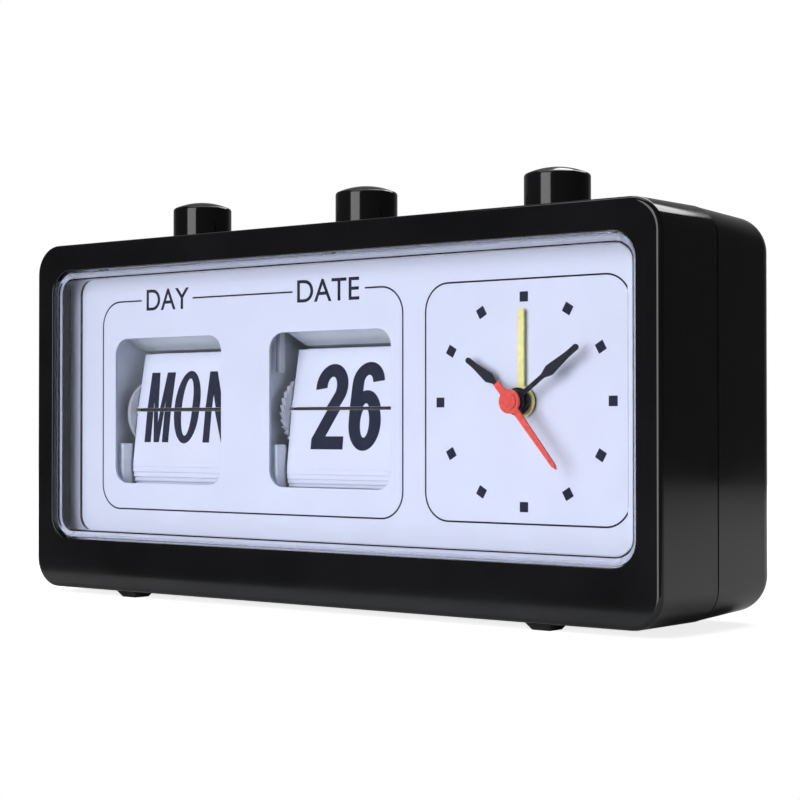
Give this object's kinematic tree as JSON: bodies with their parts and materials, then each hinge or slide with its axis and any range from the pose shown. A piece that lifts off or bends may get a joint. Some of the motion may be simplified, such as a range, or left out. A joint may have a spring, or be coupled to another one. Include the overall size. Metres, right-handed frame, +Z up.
{
  "type": "flip calendar clock",
  "caption": "Table clock in a black case: flip cards for day and date behind a clear lens, a round analogue alarm dial, and push buttons on top.",
  "frame": {"origin": "under the middle of the clock, on the surface that its feet stand on", "axes": "+X to the viewer's right along the case, +Y to the back, +Z up"},
  "size_m": [0.18, 0.0516, 0.0959],
  "materials": {
    "case_black": "polished black moulding",
    "button_black": "polished black moulding",
    "rubber_black": "soft black rubber",
    "lens_clear": "clear moulded acrylic",
    "dial_white": "satin white with printed lines",
    "card_white": "satin white card with printed numerals",
    "frame_white": "plain white moulding",
    "flange_grey": "pale grey moulding",
    "hub_dark": "dark moulding",
    "pawl_grey": "pale grey moulding",
    "steel": "plain bright steel",
    "brass": "stamped brass",
    "nickel": "nickel plated strip",
    "movement_black": "black moulding",
    "bridge_white": "white moulding",
    "gear_white": "natural white moulding",
    "magnet_dark": "moulded magnet",
    "copper": "enamelled copper winding",
    "board_green": "lacquered circuit board",
    "cell_wrap": "plain wrapped cell",
    "hand_black": "black lacquer",
    "hand_red": "red lacquer",
    "hand_yellow": "yellow lacquer"
  },
  "bodies": {
    "case": {"front_housing": "case_black", "rear_cover": "case_black", "feet": "rubber_black", "lens": "lens_clear", "dial_plate": "dial_white", "day_flip_frame": "frame_white", "date_flip_frame": "frame_white", "button_rail": "pawl_grey", "day_axle": "steel", "date_axle": "steel", "day_click_spring": "steel", "date_click_spring": "steel", "day_button_spring": "steel", "date_button_spring": "steel", "alarm_button_spring": "steel", "dial_screws": "steel", "cover_screws": "steel", "movement_screws": "steel", "quartz_crystal": "steel", "stator": "steel", "alarm_contacts": "brass", "buzzer": "brass", "battery_contacts": "nickel", "movement_front_case": "movement_black", "movement_back_case": "movement_black", "movement_bridge": "bridge_white", "motor_coil": "copper", "circuit_board": "board_green", "battery_cell": "cell_wrap"},
    "day_button": {"day_button": "button_black", "day_pawl": "pawl_grey"},
    "date_button": {"date_button": "button_black", "date_pawl": "pawl_grey"},
    "alarm_button": {"alarm_button": "button_black", "alarm_contact_bridge": "brass"},
    "day_drum": {"day_hub": "hub_dark", "day_flanges": "flange_grey", "day_cards": "card_white"},
    "date_drum": {"date_hub": "hub_dark", "date_flanges": "flange_grey", "date_cards": "card_white"},
    "day_flip": {"day_flip_card": "card_white"},
    "date_flip": {"date_flip_card": "card_white"},
    "time_set": {"motion_wheel": "gear_white", "time_set_knob": "button_black"},
    "minute": {"minute_wheel": "gear_white", "minute_hand": "hand_black"},
    "hour": {"hour_wheel": "gear_white", "hour_hand": "hand_black"},
    "second": {"second_wheel": "gear_white", "second_hand": "hand_red"},
    "third": {"third_wheel": "gear_white"},
    "center": {"center_wheel": "gear_white"},
    "step": {"step_wheel": "gear_white"},
    "rotor": {"rotor": "magnet_dark"},
    "alarm_set": {"alarm_set_pinion": "gear_white", "alarm_set_knob": "button_black"},
    "alarm": {"alarm_wheel": "gear_white", "alarm_hand": "hand_yellow"},
    "battery_door": {"battery_door": "case_black"}
  },
  "joints": [
    {"name": "day_button_press", "type": "slide", "parent": "case", "child": "day_button", "axis": [0, 0, -1], "range_m": [0, 0.004], "stiffness_N_per_m": 150, "springref_m": -0.004, "deforming": ["day_button_spring"]},
    {"name": "date_button_press", "type": "slide", "parent": "case", "child": "date_button", "axis": [0, 0, -1], "range_m": [0, 0.004], "stiffness_N_per_m": 150, "springref_m": -0.004, "deforming": ["date_button_spring"]},
    {"name": "alarm_button_press", "type": "slide", "parent": "case", "child": "alarm_button", "axis": [0, 0, -1], "range_m": [0, 0.004], "stiffness_N_per_m": 150, "springref_m": -0.004, "deforming": ["alarm_button_spring"]},
    {"name": "day_drum_step", "type": "hinge", "parent": "case", "child": "day_drum", "pos_m": [-0.0524, -0.00465, 0.0442], "axis": [1, 0, 0], "range_deg": [0, 12.91]},
    {"name": "day_card_flip", "type": "hinge", "parent": "day_drum", "child": "day_flip", "pos_m": [-0.0524, -0.01015, 0.04569], "axis": [1, 0, 0], "range_deg": [0, 169.69]},
    {"name": "date_drum_step", "type": "hinge", "parent": "case", "child": "date_drum", "pos_m": [-0.0011, -0.00465, 0.0442], "axis": [1, 0, 0], "range_deg": [0, 11.66]},
    {"name": "date_card_flip", "type": "hinge", "parent": "date_drum", "child": "date_flip", "pos_m": [-0.0011, -0.01017, 0.04563], "axis": [1, 0, 0], "range_deg": [0, 170.94]},
    {"name": "time_set_turn", "type": "hinge", "parent": "case", "child": "time_set", "pos_m": [0.0426, 0, 0.0461], "axis": [0, 1, 0], "continuous": true},
    {"name": "minute_turn", "type": "hinge", "parent": "case", "child": "minute", "pos_m": [0.0522, 0, 0.0461], "axis": [0, 1, 0], "continuous": true},
    {"name": "hour_turn", "type": "hinge", "parent": "case", "child": "hour", "pos_m": [0.0522, 0, 0.0461], "axis": [0, 1, 0], "continuous": true},
    {"name": "second_turn", "type": "hinge", "parent": "case", "child": "second", "pos_m": [0.0522, 0, 0.0461], "axis": [0, 1, 0], "continuous": true},
    {"name": "third_turn", "type": "hinge", "parent": "case", "child": "third", "pos_m": [0.0522, 0, 0.0546], "axis": [0, 1, 0], "continuous": true},
    {"name": "center_turn", "type": "hinge", "parent": "case", "child": "center", "pos_m": [0.0522, 0, 0.0461], "axis": [0, 1, 0], "continuous": true},
    {"name": "step_turn", "type": "hinge", "parent": "case", "child": "step", "pos_m": [0.05821, 0, 0.04009], "axis": [0, 1, 0], "continuous": true},
    {"name": "rotor_turn", "type": "hinge", "parent": "case", "child": "rotor", "pos_m": [0.06175, 0, 0.03655], "axis": [0, 1, 0], "continuous": true},
    {"name": "alarm_set_turn", "type": "hinge", "parent": "case", "child": "alarm_set", "pos_m": [0.0634, 0, 0.0461], "axis": [0, 1, 0], "continuous": true},
    {"name": "alarm_turn", "type": "hinge", "parent": "case", "child": "alarm", "pos_m": [0.0522, 0, 0.0461], "axis": [0, 1, 0], "continuous": true},
    {"name": "battery_door_lift", "type": "slide", "parent": "case", "child": "battery_door", "axis": [0, 1, 0], "range_m": [0, 0.03]}
  ],
  "couplings": [
    {"joint": "day_drum_step", "follows": "day_button_press", "rad_per_m": 56.1},
    {"joint": "day_card_flip", "follows": "day_button_press", "rad_per_m": 740.21},
    {"joint": "date_drum_step", "follows": "date_button_press", "rad_per_m": 50.671},
    {"joint": "date_card_flip", "follows": "date_button_press", "rad_per_m": 745.64},
    {"joint": "minute_turn", "follows": "time_set_turn", "ratio": -3},
    {"joint": "hour_turn", "follows": "time_set_turn", "ratio": -0.25},
    {"joint": "third_turn", "follows": "second_turn", "ratio": -0.13333},
    {"joint": "center_turn", "follows": "second_turn", "ratio": 0.016667},
    {"joint": "step_turn", "follows": "second_turn", "ratio": -7.5},
    {"joint": "rotor_turn", "follows": "second_turn", "ratio": 30},
    {"joint": "alarm_turn", "follows": "alarm_set_turn", "ratio": -0.4}
  ]
}
